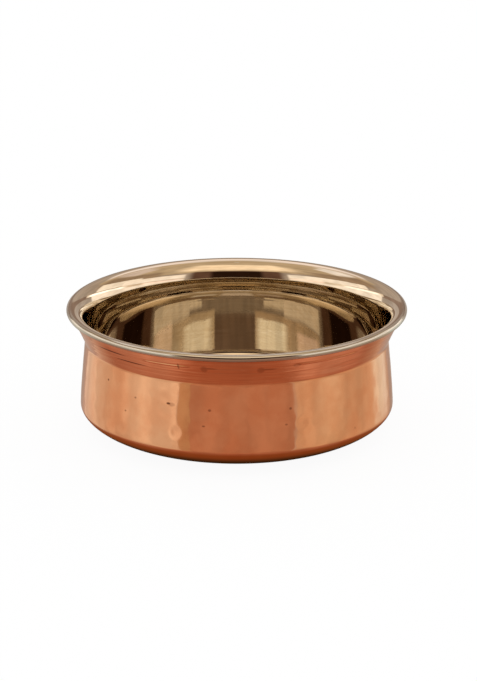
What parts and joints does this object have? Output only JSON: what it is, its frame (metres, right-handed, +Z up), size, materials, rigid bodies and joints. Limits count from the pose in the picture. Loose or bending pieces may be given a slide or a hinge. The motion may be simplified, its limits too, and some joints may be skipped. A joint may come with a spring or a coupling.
{
  "type": "handi serving bowl",
  "caption": "Low round handi bowl with a bellied hammered copper wall, a smooth neck and a polished steel liner whose flared mouth ends in a curled lip.",
  "frame": {"origin": "on the bowl's axis, at the underside of the flat base", "axes": "+Z up along the bowl's axis, out of its mouth; +X and +Y are any two level directions, because the bowl is round"},
  "size_m": [0.17, 0.17, 0.0633],
  "materials": {
    "copper": "polished",
    "steel": "polished"
  },
  "bodies": {
    "root": {"copper_shell": "copper", "steel_liner": "steel"}
  },
  "joints": []
}
